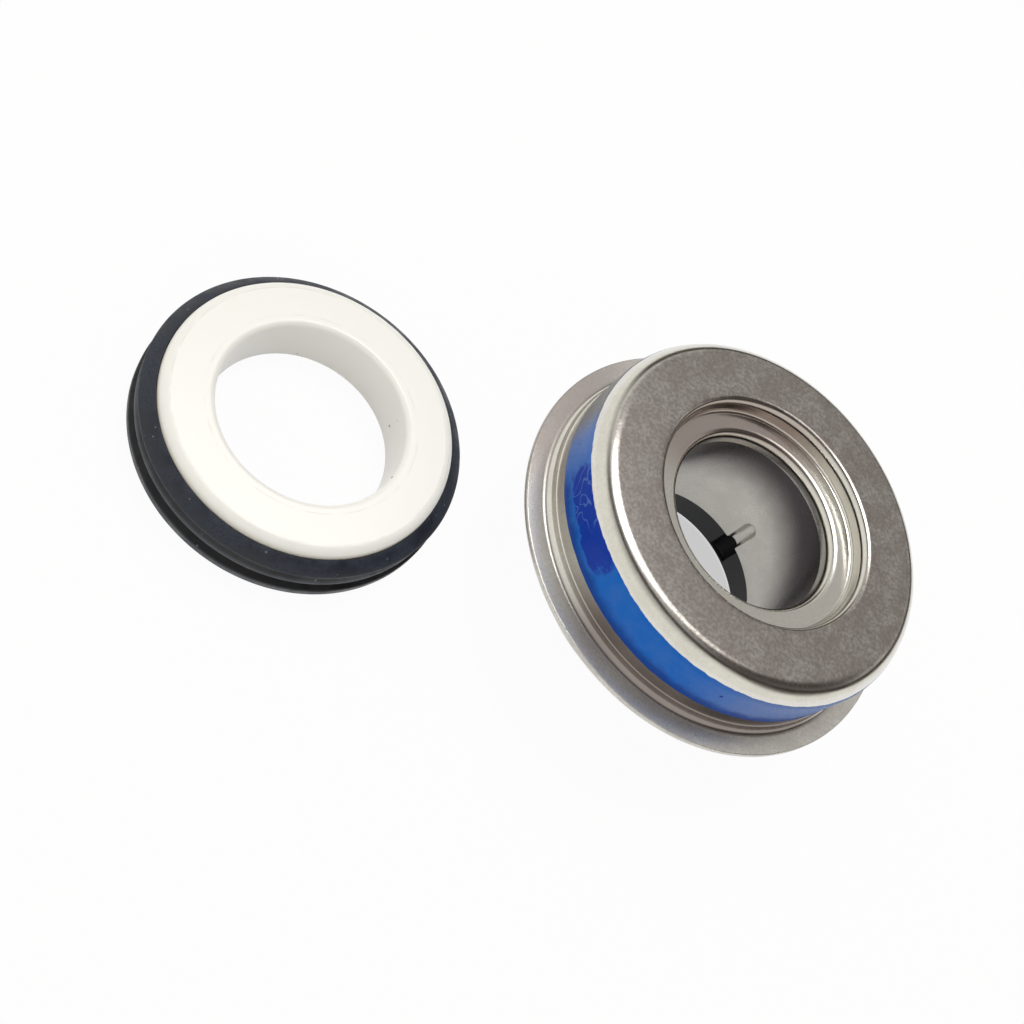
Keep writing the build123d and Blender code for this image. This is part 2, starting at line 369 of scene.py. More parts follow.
caseFinish = {
    "bright": (0.75, 0.735, 0.685),     # clean drawn steel
    "dull": (0.53, 0.51, 0.475),        # handled, tarnished face
    "stain": (0.22, 0.178, 0.172),      # brown marks by the recess and in the corners
    "recess": (0.33, 0.245, 0.225),     # painted reflection, pinkish brown, on one side of the recess
    "recessReflectionAmount": 0.6,
    "roughness": 0.16,
    "faceRoughness": 0.19,
    "flangeRoughness": 0.27,
    "flangeMetal": 0.6,                 # the flange is scuffed and a little chalky
    "flangeDullness": 0.25,
    "cloud": 2.4,
    "grain": 0.3,
    "cloudWear": (0.40, 0.08),          # on dull steel, more than on bright, and on bright steel
    "grainWear": (0.42, 0.05),
    "footAmount": 0.85,
    # where each mark comes in and goes out: heights above the flange and radii in mm, and turns
    "face": (9.0, 9.17),
    "flange": (0.75, 0.61),
    "recessReflectionRadii": ((11.75, 11.3), (8.6, 9.0, 0.55, 1.0)),
    "recessReflectionTurns": ((0.10, 0.22), (0.52, 0.42)),
    "farTurns": ((0.57, 0.47, 0.0, 0.68), (0.29, 0.41)),      # the more stained side of the flange
    "rimRadii": (11.2, 12.6, 0.6, 0.0),
    "footTurns": ((0.57, 0.64), (0.89, 0.84)),                # the tarnished foot of the wall
    "footHeights": (3.9, 3.3),
    "footRadii": (19.1, 18.7),
}


def caseSteel():
    look = caseFinish
    steel = Finish("caseSteel", headX, 1.0, look["roughness"])
    tree = steel.tree
    cloud, grain = steel.patina(look["cloud"], look["grain"])

    def aboveFlange(heights):
        low, high = heights
        return rangeNode(tree, steel.height, flangeZ + low, flangeZ + high)

    face = aboveFlange(look["face"])
    flange = aboveFlange(look["flange"])
    dullness = mathNode(tree, "MAXIMUM", face, product(tree, flange, look["flangeDullness"]))
    colour = mixColour(tree, dullness, look["bright"], look["dull"])
    wearAndHighlight = product(tree, cloud, mathNode(tree, "MULTIPLY_ADD", dullness, *look["cloudWear"]))
    colour = mixColour(tree, wearAndHighlight, colour, look["stain"])
    speckle = product(tree, grain, mathNode(tree, "MULTIPLY_ADD", dullness, *look["grainWear"]))
    colour = mixColour(tree, speckle, colour, look["stain"])
    # painted reflection: a pinkish-brown tone over the recess ledge and neck on one side
    recessReflectionMask = product(tree, between(tree, steel.radius, *look["recessReflectionRadii"]),
                       between(tree, steel.turn, *look["recessReflectionTurns"]))
    colour = mixColour(tree, product(tree, recessReflectionMask, look["recessReflectionAmount"]), colour, look["recess"])
    farSide = product(tree, between(tree, steel.turn, *look["farTurns"]), flange)
    colour = mixColour(tree, farSide, colour, look["stain"])
    rimStain = product(tree, rangeNode(tree, steel.radius, *look["rimRadii"]),
                       rangeNode(tree, noiseNode(tree, steel.place, 0.35), 0.42, 0.6), face)
    colour = mixColour(tree, rimStain, colour, look["stain"])
    foot = product(tree, between(tree, steel.turn, *look["footTurns"]),
                   aboveFlange(look["footHeights"]),
                   rangeNode(tree, steel.radius, *look["footRadii"]), look["footAmount"])
    colour = mixColour(tree, foot, colour, look["stain"])
    steel.link(colour, "Base Color")
    plain = look["roughness"]
    rough = mathNode(tree, "MULTIPLY_ADD", face, look["faceRoughness"] - plain, plain)
    rough = mathNode(tree, "MULTIPLY_ADD", flange, look["flangeRoughness"] - plain, rough)
    steel.link(mathNode(tree, "MULTIPLY_ADD", cloud, 0.04, rough), "Roughness")
    steel.link(mathNode(tree, "MULTIPLY_ADD", flange, look["flangeMetal"] - 1, 1.0), "Metallic")
    steel.bump([(noiseNode(tree, steel.place, 0.5, 2.0), 0.012),
                (noiseNode(tree, steel.around, 9.0, 2.0), 0.002),
                (noiseNode(tree, steel.place, 5.0, 2.0), 0.002)])
    return steel


sleeveShade = {
    "dark": (0.105, 0.092, 0.096),      # painted shade on the upper part of the bore
    "from": 9.0,                        # heights that it begins and is full at
    "to": 15.5,
    "lightestAzimuth": 68,                        # azimuth where the painted shade begins highest, in degrees
    "lean": 4.5,                        # how much higher the painted shade begins there, in mm
}


def pressedSteel(name, bright, stain, roughness, paintedShade=False):
    steel = Finish(name, headX, 1.0, roughness)
    tree = steel.tree
    cloud, grain = steel.patina(2.2, 0.2)
    colour = mixColour(tree, product(tree, cloud, 0.12), bright, stain)
    colour = mixColour(tree, product(tree, grain, 0.08), colour, stain)
    if paintedShade:
        # painted shade: the bore darkens toward the neck lip, beginning lower on the turns away
        # from the lightest azimuth
        parts = tree.nodes.new("ShaderNodeSeparateXYZ")
        tree.links.new(steel.around, parts.inputs[0])
        lightestAzimuth, lean = math.radians(sleeveShade["lightestAzimuth"]), sleeveShade["lean"]
        facing = mathNode(tree, "ADD", product(tree, parts.outputs["X"], math.cos(lightestAzimuth)),
                          product(tree, parts.outputs["Y"], math.sin(lightestAzimuth)))
        level = mathNode(tree, "MULTIPLY_ADD", facing, -lean, steel.height)
        shadeMask = rangeNode(tree, level, sleeveShade["from"] - lean, sleeveShade["to"] - lean)
        colour = mixColour(tree, shadeMask, colour, sleeveShade["dark"])
    steel.link(colour, "Base Color")
    steel.link(mathNode(tree, "MULTIPLY_ADD", cloud, 0.04, roughness), "Roughness")
    steel.bump([(noiseNode(tree, steel.around, 6.0, 2.0), 0.003),
                (noiseNode(tree, steel.place, 5.0, 2.0), 0.002)])
    return steel


blueFinish = {
    "body": (0.005, 0.135, 0.56),
    "thinCoatAndSheen": (0.20, 0.26, 0.45),         # painted sheen, and where the coat is thin
    "bare": (0.215, 0.205, 0.19),       # where it has not covered the steel
    "thick": (0.001, 0.038, 0.27),      # pooled at the lower edge
    "smear": (0.001, 0.015, 0.33),      # the scraped and smeared patch
    "scratch": (0.16, 0.30, 0.62),
    "amounts": (0.55, 0.08, 0.8, 0.8, 0.4),      # of painted sheen, thin-coat clouds, pool, patch and scratches
    # in turns about the axis, where each mark comes in and goes out
    "sheenTurns": ((0.55, 0.47), (0.70, 0.78)),   # painted sheen before the first, and after the second
    "bareTurns": ((0.492, 0.455, 0.0, 0.92), (0.36, 0.40)),
    "poolTurns": ((0.50, 0.53), (0.97, 0.88)),
    "patchTurns": ((0.512, 0.524), (0.608, 0.596)),
    "scratchTurns": (0.575, 0.555),
    # heights above the flange, in mm
    "poolHeights": (4.9, 3.6),
    "patchHeights": (4.6, 4.9),
}


def blueSealant():
    look = blueFinish
    coat = Finish("blueSealant", headX, 0.0, 0.4, Specular_IOR_Level=0.1, Coat_Weight=0.05,
                  Coat_Roughness=0.15)
    tree = coat.tree
    cloud, grain = coat.patina(1.8, 0.3)
    sheenAmount, cloudAmount, poolAmount, patchAmount, scratchAmount = look["amounts"]
    # painted sheen: paler blue outside one stretch of turns, with clouds of thin coat on top
    before, after = look["sheenTurns"]
    sheenAndThinCoat = mathNode(tree, "MAXIMUM", rangeNode(tree, coat.turn, *before),
                    rangeNode(tree, coat.turn, *after))
    sheenAndThinCoat = mathNode(tree, "MULTIPLY_ADD", sheenAndThinCoat, sheenAmount, product(tree, cloud, cloudAmount))
    colour = mixColour(tree, sheenAndThinCoat, look["body"], look["thinCoatAndSheen"])
    colour = mixColour(tree, between(tree, coat.turn, *look["bareTurns"]), colour, look["bare"])
    wobble = mathNode(tree, "MULTIPLY_ADD", noiseNode(tree, coat.place, 0.6), 1.6, -0.8)
    low = mathNode(tree, "ADD", coat.height, wobble)
    poolTop, poolFull = look["poolHeights"]
    pool = product(tree, rangeNode(tree, low, flangeZ + poolTop, flangeZ + poolFull),
                   between(tree, coat.turn, *look["poolTurns"]), poolAmount)
    colour = mixColour(tree, pool, colour, look["thick"])
    turn = mathNode(tree, "ADD", coat.turn, mathNode(
        tree, "MULTIPLY_ADD", noiseNode(tree, coat.place, 0.9), 0.04, -0.02))
    patchFrom, patchFull = look["patchHeights"]
    patch = product(tree, between(tree, turn, *look["patchTurns"]),
                    rangeNode(tree, low, flangeZ + patchFrom, flangeZ + patchFull))
    colour = mixColour(tree, product(tree, patch, patchAmount), colour, look["smear"])
    lines = noiseNode(tree, coat.place, 0.42, 1.0, 0.5, 0.5)
    scratch = product(tree, between(tree, lines, (0.475, 0.49), (0.515, 0.50)),
                      product(tree, patch, rangeNode(tree, turn, *look["scratchTurns"])),
                      scratchAmount)
    colour = mixColour(tree, scratch, colour, look["scratch"])
    pits = coat.speckMask(1.3, 0.13, 0.35)
    colour = mixColour(tree, pits, colour, look["smear"])
    coat.link(colour, "Base Color")
    coat.link(rangeNode(tree, grain, 0, 1, 0.34, 0.5), "Roughness")
    coat.bump([(noiseNode(tree, coat.place, 0.9, 2.0), 0.04),
               (lines, 0.02),
               (mathNode(tree, "SUBTRACT", 1.0, pits), 0.02)])
    return coat


ceramicFinish = {
    "glaze": (0.87, 0.862, 0.822),
    "bore": (0.90, 0.89, 0.86),
    "mark": (0.10, 0.09, 0.08),
    "markAmount": 0.8,
    "edgeShade": (0.60, 0.565, 0.49),       # painted shade on the lower outer edge, where the rubber meets it
    "edgeShadeHeights": (5.75, 5.2, 0.0, 0.75),
    "edgeShadeRadii": (12.0, 13.0),
    "boreRadii": (9.3, 9.1),
    "rings": (10.05, 13.0),             # radii of faint lapping rings
    "ringWidth": (0.13, 0.02),
    "ringStrength": 0.10,
}


def whiteCeramic():
    look = ceramicFinish
    ceramic = Finish("whiteCeramic", seatX, 0.0, 0.32, Specular_IOR_Level=0.45,
                     Subsurface_Weight=0.12, Subsurface_Scale=0.0012)
    ceramic.shader.inputs["Subsurface Radius"].default_value = (1.0, 0.9, 0.8)
    tree = ceramic.tree
    cloud, grain = ceramic.patina(5.0, 0.2)
    bore = rangeNode(tree, ceramic.radius, *look["boreRadii"])
    colour = mixColour(tree, bore, look["glaze"], look["bore"])
    colour = mixColour(tree, product(tree, cloud, 0.06), colour, look["bore"])
    # painted shade: the lower part of the rounded outer edge darkens toward the rubber
    edgeShade = product(tree, rangeNode(tree, ceramic.height, *look["edgeShadeHeights"]),
                    rangeNode(tree, ceramic.radius, *look["edgeShadeRadii"]))
    colour = mixColour(tree, edgeShade, colour, look["edgeShade"])
    broken = rangeNode(tree, noiseNode(tree, ceramic.place, 0.4, 3.0), 0.42, 0.6, 0.0,
                       look["ringStrength"])
    for radius in look["rings"]:
        near = mathNode(tree, "ABSOLUTE", mathNode(tree, "SUBTRACT", ceramic.radius, radius))
        colour = mixColour(tree, product(tree, rangeNode(tree, near, *look["ringWidth"]), broken),
                           colour, look["mark"])
    smear = rangeNode(tree, noiseNode(tree, ceramic.place, 2.4, 2.0), 0.36, 0.46)
    marks = product(tree, ceramic.speckMask(1.5, 0.16, 0.5), bore, smear, look["markAmount"])
    colour = mixColour(tree, marks, colour, look["mark"])
    ceramic.link(colour, "Base Color")
    ceramic.link(rangeNode(tree, grain, 0, 1, 0.28, 0.36), "Roughness")
    ceramic.bump([(noiseNode(tree, ceramic.around, 3.0, 2.0), 0.004),
                  (noiseNode(tree, ceramic.place, 5.0, 2.0), 0.002)])
    return ceramic


rubberFinish = {
    "skin": (0.0085, 0.0120, 0.0215),
    "dusty": (0.024, 0.034, 0.056),
    "dust": (0.20, 0.22, 0.24),
    "dustAmount": 0.55,
    "ridgeHighlight": (0.060, 0.068, 0.082),     # painted highlight along the tops of the ridges
    "highlightHalf": (0.42, 0.1),           # how far from its middle a painted highlight fades, in mm
    # painted shade over the ridged wall below the lip
    "groove": (0.0012, 0.0018, 0.0035),
    "shadeBelow": (4.15, 4.05),        # heights that the painted shade begins under
}


def rubber(name, centreX, ridges=()):
    look = rubberFinish
    skin = Finish(name, centreX, 0.0, 0.5, Specular_IOR_Level=0.5)
    tree = skin.tree
    cloud, grain = skin.patina(2.0, 0.18)
    colour = mixColour(tree, product(tree, cloud, grain, 0.8), look["skin"], look["dusty"])
    if ridges:
        # painted shade below the lip, with painted highlights along the ridge tops
        shadedBelow = rangeNode(tree, skin.height, *look["shadeBelow"])
        colour = mixColour(tree, product(tree, shadedBelow, 0.9), colour, look["groove"])
        for ridge in ridges:
            near = mathNode(tree, "ABSOLUTE", mathNode(tree, "SUBTRACT", skin.height, ridge))
            wearAndHighlight = product(tree, rangeNode(tree, near, *look["highlightHalf"]), shadedBelow)
            colour = mixColour(tree, wearAndHighlight, colour, look["ridgeHighlight"])
    lint = skin.speckMask(0.75, 0.15, 0.4)
    colour = mixColour(tree, product(tree, lint, look["dustAmount"]), colour, look["dust"])
    skin.link(colour, "Base Color")
    skin.link(rangeNode(tree, cloud, 0, 1, 0.38, 0.6), "Roughness")
    skin.bump([(noiseNode(tree, skin.place, 1.2, 3.0), 0.02),
               (noiseNode(tree, skin.around, 5.0, 2.0), 0.01),
               (lint, 0.01)])
    return skin


carbonFinish = {
    "dark": (0.005, 0.006, 0.010),
    "light": (0.012, 0.014, 0.020),
    "roughness": (0.45, 0.2),           # as machined, and on the lapped face
    "lappedBelow": (0.4, 0.3),          # heights, in mm
}


def carbonGraphite():
    look = carbonFinish
    carbon = Finish("carbonGraphite", headX, 0.0, 0.42, Specular_IOR_Level=0.55)
    tree = carbon.tree
    cloud, grain = carbon.patina(1.8, 0.15)
    carbon.link(mixColour(tree, grain, look["dark"], look["light"]), "Base Color")
    lapped = rangeNode(tree, carbon.height, *look["lappedBelow"])
    carbon.link(rangeNode(tree, lapped, 0, 1, *look["roughness"]), "Roughness")
    carbon.bump([(noiseNode(tree, carbon.around, 8.0, 2.0), 0.004),
                 (noiseNode(tree, carbon.place, 8.0, 2.0), 0.004)])
    return carbon


steelTones = {
    "sleeve": ((0.64, 0.62, 0.575), (0.30, 0.27, 0.25), 0.26),      # clean, stained, roughness
    "rings": ((0.60, 0.585, 0.54), (0.30, 0.27, 0.25), 0.3),
    "spring": ((0.52, 0.51, 0.49), (0.22, 0.2, 0.18), 0.28),
}

print("finishes")
steelOfCase = caseSteel()
steelOfSleeve = pressedSteel("sleeveSteel", *steelTones["sleeve"], paintedShade=True)
steelOfRings = pressedSteel("ringSteel", *steelTones["rings"])
steelOfSpring = pressedSteel("springSteel", *steelTones["spring"])
blueOfBand = blueSealant()
whiteOfSeat = whiteCeramic()
rubberOfCup = rubber("cupRubber", seatX, ridges=(2.6, 1.1))
rubberOfBellows = rubber("bellowsRubber", headX)
blackOfCarbon = carbonGraphite()


caseShape = {
    "sheet": 0.6,
    "wall": 18.25,
    "flange": 20.7,
    "height": 9.2,
    "corner": 2.1,
    "root": 0.8,
    "rim": 0.14,
    "stepHeight": 1.85,
    "step": 0.08,
    "recess": 11.2,
    "ledge": 7.25,
    "recessRim": 0.8,
    "recessRoot": 0.4,
    "neck": 8.68,
    "neckEdge": 5.7,
    "neckRim": 0.9,
    "steps": 360,
}


def makeCase():
    size = caseShape
    outline = [
        (size["neck"], size["neckEdge"], 0),
        (size["neck"], size["ledge"], size["neckRim"]),
        (size["recess"], size["ledge"], size["recessRoot"]),
        (size["recess"], size["height"], size["recessRim"]),
        (size["wall"], size["height"], size["corner"]),
        (size["wall"], size["stepHeight"], 0),
        (size["wall"] + size["step"], size["stepHeight"] - size["step"], 0),
        (size["wall"] + size["step"], size["sheet"], size["root"]),
        (size["flange"], size["sheet"], 0),
    ]
    corners = sheetCorners(outline, size["sheet"])
    rimEnds = (len(outline) - 1, len(outline))
    corners = [(c[0], c[1], size["rim"] if index in rimEnds else c[2])
               for index, c in enumerate(corners)]
    piece = turnRing("caseShell", corners, headX, flangeZ, size["steps"])
    dress(piece, steelOfCase)
    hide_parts("case")
    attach(piece, "case_set")


print("case")
makeCase()


coatShape = {
    "bottom": 3.2,
    "top": 7.72,
    "thickness": 0.045,
    "root": 0.02,            # how far it goes into the wall
    "topRagged": 0.16,
    "bottomRagged": 0.10,
    "feather": (0.15, 9),    # share of the thickness at its edges, and how fast it thickens
    "rows": 22,
    "steps": 540,
}


def wallPoint(along, lift):
    # a point on the case's outside: along is the height, and goes on round the corner's arc
    size = caseShape
    arcStart = size["height"] - size["corner"]
    if along <= arcStart:
        return size["wall"] + lift, along
    angle = (along - arcStart) / size["corner"]
    reach = size["corner"] + lift
    return (size["wall"] - size["corner"] + reach * math.cos(angle),
            arcStart + reach * math.sin(angle))


def raggedEdge(turn, seed, size):
    spot = Vector((math.cos(turn) * 3, math.sin(turn) * 3, seed))
    broad = noise.noise(spot)
    fine = noise.noise(spot * 6) * 0.5 + noise.noise(spot * 19) * 0.3
    return size * (broad + fine)


def makeCoat():
    size = coatShape
    wall = caseShape["wall"]
    inside, outside = wall - size["root"], wall + size["thickness"]
    piece = drawSection("blueBand", [
        (inside, size["bottom"], 0), (outside, size["bottom"], 0),
        (outside, size["top"], 0), (inside, size["top"], 0)], headX, flangeZ)
    bpy.ops.mesh.select_all(action="SELECT")
    bpy.ops.mesh.subdivide(number_cuts=size["rows"])
    spinSection(piece, headX, size["steps"])
    middle = (inside + outside) / 2
    thinnest, quickness = size["feather"]
    for vertex in piece.data.vertices:
        x = vertex.co.x / mm - headX
        y = vertex.co.y / mm
        radius = math.hypot(x, y)
        turn = math.atan2(y, x)
        share = (vertex.co.z / mm - flangeZ - size["bottom"]) / (size["top"] - size["bottom"])
        low = size["bottom"] + raggedEdge(turn, 2.0, size["bottomRagged"])
        high = size["top"] + raggedEdge(turn, 7.0, size["topRagged"])
        lift = radius - wall
        if radius > middle:
            lift = lift * min(1, thinnest + min(share, 1 - share) * quickness)
        newRadius, newHeight = wallPoint(low + (high - low) * share, lift)
        vertex.co = ((headX + newRadius * math.cos(turn)) * mm, newRadius * math.sin(turn) * mm,
                     (flangeZ + newHeight) * mm)
    finishSmooth(piece, 60, weighted=False)
    dress(piece, blueOfBand)
    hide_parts("sealant_band")
    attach(piece, "case_set")


print("sealant")
makeCoat()


sleeveShape = {
    "sheet": 0.5,
    "inside": 9.30,
    "flange": 11.6,
    "top": 6.63,
    "bottom": -6.8,
    "fold": 0.3,
    "ribAngle": 43.0,
    "ribs": 3,
    "ribRadius": 1.2,
    "ribLength": 4.4,
    "rows": 80,
    "ribReach": 0.4,         # how far round from its middle a rib can be felt, in radians
    "steps": 480,
}


def makeSleeve():
    size = sleeveShape
    outside = size["inside"] + size["sheet"]
    piece = drawSection("driveSleeve", [
        (size["flange"], size["top"], 0.05),
        (size["inside"], size["top"], size["fold"]),
        (size["inside"], size["bottom"], 0.05),
        (outside, size["bottom"], 0.05),
        (outside, size["top"] - size["sheet"], size["fold"] + size["sheet"]),
        (size["flange"], size["top"] - size["sheet"], 0.05)], headX, flangeZ)
    ribTop = size["bottom"] + size["ribLength"]
    # rows where the ribs are
    bpy.ops.mesh.select_all(action="DESELECT")
    sheet = bmesh.from_edit_mesh(piece.data)
    for edge in sheet.edges:
        low, high = sorted(v.co.z / mm - flangeZ for v in edge.verts)
        if high - low > 5:
            edge.select = True
    bmesh.update_edit_mesh(piece.data)
    bpy.ops.mesh.subdivide(number_cuts=size["rows"])
    spinSection(piece, headX, size["steps"])
    ribAngles = [math.radians(size["ribAngle"] + 360 / size["ribs"] * n)
                 for n in range(size["ribs"])]
    for vertex in piece.data.vertices:
        x = vertex.co.x / mm - headX
        y = vertex.co.y / mm
        height = vertex.co.z / mm - flangeZ
        radius = math.hypot(x, y)
        if radius > outside + 0.1 or height > ribTop + 0.5:
            continue
        turn = math.atan2(y, x)
        depth = (radius - size["inside"]) / size["sheet"]      # 0 at the inside, 1 outside
        reach = size["ribRadius"] - size["sheet"] * (1 - depth)
        domeStart = ribTop - size["ribRadius"]
        above = max(0.0, height - domeStart)
        swell = 0.0
        for angle in ribAngles:
            off = (turn - angle + math.pi) % math.tau - math.pi
            if abs(off) > size["ribReach"]:
                continue
            across = size["inside"] * math.sin(off)
            inside = reach * reach - (across * across + above * above)
            swell = max(swell, math.sqrt(max(0.0, inside)))
        newRadius = max(radius, size["inside"] + swell)
        vertex.co.x = (headX + newRadius * math.cos(turn)) * mm
        vertex.co.y = newRadius * math.sin(turn) * mm
    makeActive(piece)
    relax = piece.modifiers.new("softFeet", "SMOOTH")
    relax.factor = 0.5
    relax.iterations = 2
    bpy.ops.object.modifier_apply(modifier=relax.name)
    finishSmooth(piece, 60, weighted=False)
    dress(piece, steelOfSleeve)
    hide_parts("drive_sleeve")
    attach(piece, "case_set")


print("sleeve")
makeSleeve()


def nodeSpan(node):
    # outer radius, lowest and highest height of a round node, in mm
    low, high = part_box(node)
    return (high[0] - low[0]) / 2 / mm, low[2] / mm, high[2] / mm


pressedShape = {
    "sheet": 0.5,
    "bandInside": 12.62,
    "bandFold": 1.0,
    "washerInside": 12.9,
    "holderLip": 13.35,
    "holderFold": 0.25,
    "edge": 0.06,
    "steps": 200,
}


def makePressedRings():
    size = pressedShape
    sheet, edge = size["sheet"], size["edge"]
    outer, low, high = nodeSpan("clamp_band")
    band = turnRing("clampBand", [
        (size["bandInside"], low, edge),
        (size["bandInside"], high, size["bandFold"]),
        (outer, high, edge),
        (outer, high - sheet, edge),
        (size["bandInside"] + sheet, high - sheet, size["bandFold"] - sheet),
        (size["bandInside"] + sheet, low, edge)], headX, 0, size["steps"])
    outer, low, high = nodeSpan("spring_washer")
    washer = turnRing("springWasher", [
        (size["washerInside"], low, edge), (outer, low, edge),
        (outer, high, edge), (size["washerInside"], high, edge)], headX, 0, size["steps"])
    outer, low, high = nodeSpan("carbon_holder")
    holder = turnRing("carbonHolder", [
        (outer - sheet, high, edge),
        (outer, high, edge),
        (outer, low, size["holderFold"] + sheet),
        (size["holderLip"], low, edge),
        (size["holderLip"], low + sheet, edge),
        (outer - sheet, low + sheet, size["holderFold"])], headX, 0, size["steps"])
    for piece, node, body in ((band, "clamp_band", "case_set"),
                              (washer, "spring_washer", "carbon_set"),
                              (holder, "carbon_holder", "carbon_set")):
        dress(piece, steelOfRings)
        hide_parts(node)
        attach(piece, body)


print("band, washer, holder")
makePressedRings()


springShape = {
    "wire": 1.4,
    "turns": 3.5,
    "closedTurns": 0.9,      # turns that lie against the next at each end
    "closedPitch": 1.04,     # their pitch, in wires
    "ground": 0.5,           # how far from the seat the end turn's middle is, in half wires
    "pointsPerTurn": 40,
    "radius": 15.385,
}


def makeSpring():
    size = springShape
    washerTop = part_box("spring_washer")[1][2] / mm
    top = nodeSpan("clamp_band")[2] - pressedShape["sheet"]
    half = size["wire"] / 2
    lowEnd, highEnd = washerTop + half * size["ground"], top - half * size["ground"]
    closedRise = size["wire"] * size["closedPitch"] * size["closedTurns"]
    count = round(size["turns"] * size["pointsPerTurn"])
    curve = bpy.data.curves.new("coilSpring", "CURVE")
    curve.dimensions = "3D"
    line = curve.splines.new("NURBS")
    line.points.add(count)
    for index in range(count + 1):
        turns = size["turns"] * index / count
        left = size["turns"] - turns
        if turns < size["closedTurns"]:
            height = lowEnd + closedRise * turns / size["closedTurns"]
        elif left < size["closedTurns"]:
            height = highEnd - closedRise * left / size["closedTurns"]
        else:
            share = (turns - size["closedTurns"]) / (size["turns"] - 2 * size["closedTurns"])
            height = lowEnd + closedRise + share * (highEnd - lowEnd - 2 * closedRise)
        angle = math.tau * turns
        line.points[index].co = ((headX + size["radius"] * math.cos(angle)) * mm,
                                 size["radius"] * math.sin(angle) * mm, height * mm, 1)
    line.order_u = 4
    line.use_endpoint_u = True
    line.resolution_u = 3
    curve.bevel_depth = half * mm
    curve.bevel_resolution = 5
    curve.use_fill_caps = True
    piece = bpy.data.objects.new("coilSpring", curve)
    bpy.context.scene.collection.objects.link(piece)
    makeActive(piece)
    bpy.ops.object.convert(target="MESH")
    piece = bpy.context.object
    bpy.ops.object.mode_set(mode="EDIT")
    for level, upper in ((washerTop + 0.01, False), (top - 0.01, True)):      # ground flat ends
        bpy.ops.mesh.select_all(action="SELECT")
        bpy.ops.mesh.bisect(plane_co=(headX * mm, 0, level * mm), plane_no=(0, 0, 1), use_fill=True,
                            clear_outer=upper, clear_inner=not upper)
    bpy.ops.mesh.select_all(action="SELECT")
    bpy.ops.mesh.remove_doubles(threshold=1e-7)
    bpy.ops.mesh.normals_make_consistent(inside=False)
    bpy.ops.object.mode_set(mode="OBJECT")
    finishSmooth(piece, 50, weighted=False)
    dress(piece, steelOfSpring)
    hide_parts("spring")
    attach(piece, "case_set")
    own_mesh(piece)


print("spring")
makeSpring()


bellowsShape = {
    "wall": 0.8,
    "tail": 12.2,           # middle of the wall round the recess
    "tailTop": 8.4,
    "tailEnd": 5.0,
    "foldOut": 13.585,
    "foldIn": 11.1,
    "foot": 12.25,
    "heelTop": -3.5,
    "heelBottom": -4.3,
    "heelInside": 10.7,
    "skirtInside": 13.25,
    "skirtOutside": 13.95,
    "skirtBottom": -7.8,
    "steps": 180,
}


def makeBellows():
    size = bellowsShape
    way = size["tailEnd"] - size["heelTop"]
    foldOutZ = size["tailEnd"] - 0.2 * way
    foldInZ = size["tailEnd"] - 0.55 * way
    footZ = size["tailEnd"] - 0.78 * way
    half = size["wall"] / 2
    run = [
        (size["tail"] + half, size["tailTop"], 0.1),
        (size["tail"] + half, size["tailEnd"], 0.4),
        (size["foldOut"] + half, foldOutZ, 1.1),
        (size["foldIn"] + half, foldInZ, 0.4),
        (size["foot"] + half, footZ, 0.7),
        (size["foot"] + half, size["heelTop"], 0.25),
        (size["skirtOutside"], size["heelTop"], 0.15),
        (size["skirtOutside"], size["skirtBottom"], 0.1),
        (size["skirtInside"], size["skirtBottom"], 0.1),
        (size["skirtInside"], size["heelBottom"], 0.1),
        (size["heelInside"], size["heelBottom"], 0.1),
        (size["heelInside"], size["heelTop"], 0.2),
        (size["foot"] - half, size["heelTop"], 0.25),
        (size["foot"] - half, footZ + 0.2, 0.5),
        (size["foldIn"] - half, foldInZ, 1.1),
        (size["foldOut"] - half, foldOutZ, 0.4),
        (size["tail"] - half, size["tailEnd"] - 0.3, 0.7),
        (size["tail"] - half, size["tailTop"], 0.1),
    ]
    piece = turnRing("bellows", run, headX, flangeZ, size["steps"], weighted=False)
    dress(piece, rubberOfBellows)
    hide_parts("bellows")
    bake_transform(piece)


print("bellows")
makeBellows()


carbonShape = {
    "bore": 10.0,
    "body": 13.15,
    "nose": 12.6,
    "landInside": 10.95,
    "back": 6.4,
    "shoulder": 2.3,
    "land": 0.35,
    "notch": 1.4,           # radius of a blind drive notch, on the sleeve's circle
    "notchFloor": 0.8,
    "edge": 0.12,
    "steps": 360,
}


def makeCarbon():
    size = carbonShape
    edge = size["edge"]
    piece = turnRing("carbonRing", [
        (size["bore"], size["back"], edge),
        (size["body"], size["back"], edge),
        (size["body"], size["shoulder"], edge),
        (size["nose"], size["shoulder"], 0),
        (size["nose"], 0, edge),
        (size["landInside"], 0, 0.05),
        (size["landInside"], size["land"], 0),
        (size["bore"], size["land"], edge)], headX, 0, size["steps"])
    sleeve = sleeveShape
    for number in range(sleeve["ribs"]):
        angle = math.radians(sleeve["ribAngle"] + 360 / sleeve["ribs"] * number)
        deselectAll()
        bpy.ops.mesh.primitive_cylinder_add(
            vertices=64, radius=size["notch"] * mm, depth=size["back"] * mm,
            location=((headX + sleeve["inside"] * math.cos(angle)) * mm,
                      sleeve["inside"] * math.sin(angle) * mm,
                      (size["notchFloor"] + size["back"] / 2) * mm))
        cutter = bpy.context.object
        makeActive(piece)
        notch = piece.modifiers.new("notch", "BOOLEAN")
        notch.operation = "DIFFERENCE"
        notch.solver = "EXACT"
        notch.object = cutter
        bpy.ops.object.modifier_apply(modifier=notch.name)
        bpy.data.objects.remove(cutter, do_unlink=True)
    finishSmooth(piece, 35)
    dress(piece, blackOfCarbon)
    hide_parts("carbon_ring")
    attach(piece, "carbon_set")


print("carbon")
makeCarbon()


